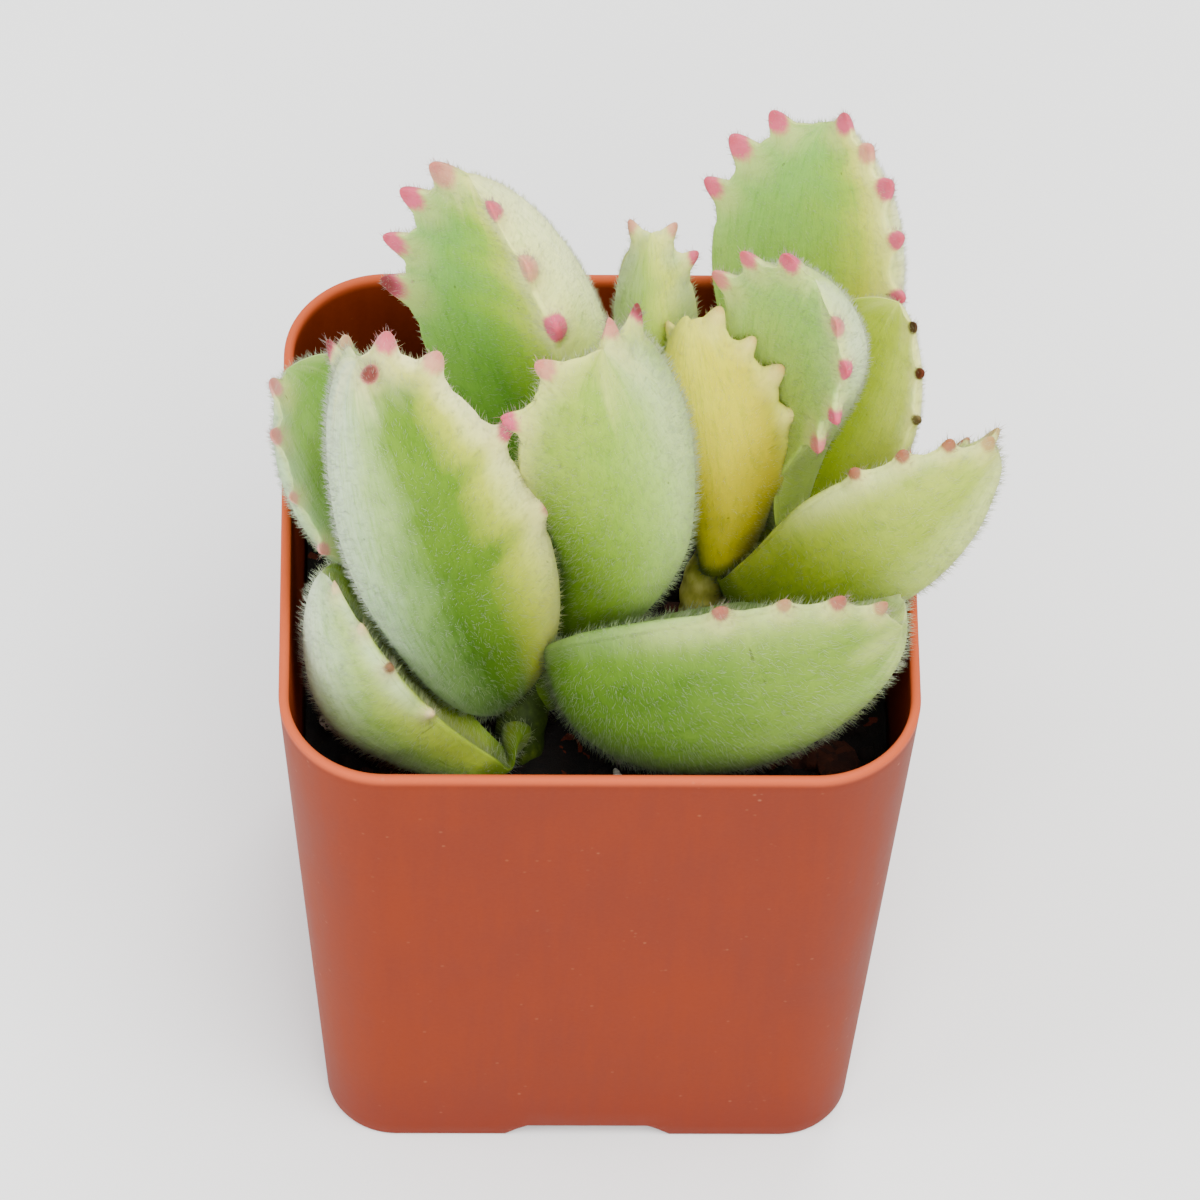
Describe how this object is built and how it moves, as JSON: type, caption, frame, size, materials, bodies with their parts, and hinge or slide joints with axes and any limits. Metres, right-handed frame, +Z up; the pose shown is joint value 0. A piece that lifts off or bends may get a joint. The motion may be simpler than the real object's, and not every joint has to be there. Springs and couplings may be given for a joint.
{
  "type": "potted variegated bears paw",
  "caption": "Small potted succulent with plump, hairy, red-toothed green and cream leaves in a square terracotta-coloured plastic nursery pot.",
  "frame": {"origin": "middle of the plant's bounding box seen from above, at the height of the surface that the pot stands on; the pot's own middle is at X -2.9 mm, Y -1 mm", "axes": "+Z up, -Y out of the pot's front as pictured, +X to the right seen from the front"},
  "size_m": [0.0648, 0.0589, 0.0983],
  "materials": {
    "pot": "satin",
    "soil": "rough",
    "stem": "matt",
    "leaf": "velvety",
    "leaf_yellow": "velvety"
  },
  "bodies": {
    "root": {"pot": "pot", "soil": "soil", "stem_left": "stem", "stem_right": "stem", "leaf_front_centre": "leaf", "leaf_front_left": "leaf", "leaf_front_right": "leaf", "leaf_right_low": "leaf", "leaf_yellow": "leaf_yellow", "leaf_inner_right": "leaf", "leaf_low_left": "leaf", "leaf_back_left": "leaf", "leaf_left_edge": "leaf", "leaf_back_right": "leaf", "leaf_small_back": "leaf", "leaf_far_right": "leaf"}
  },
  "joints": []
}
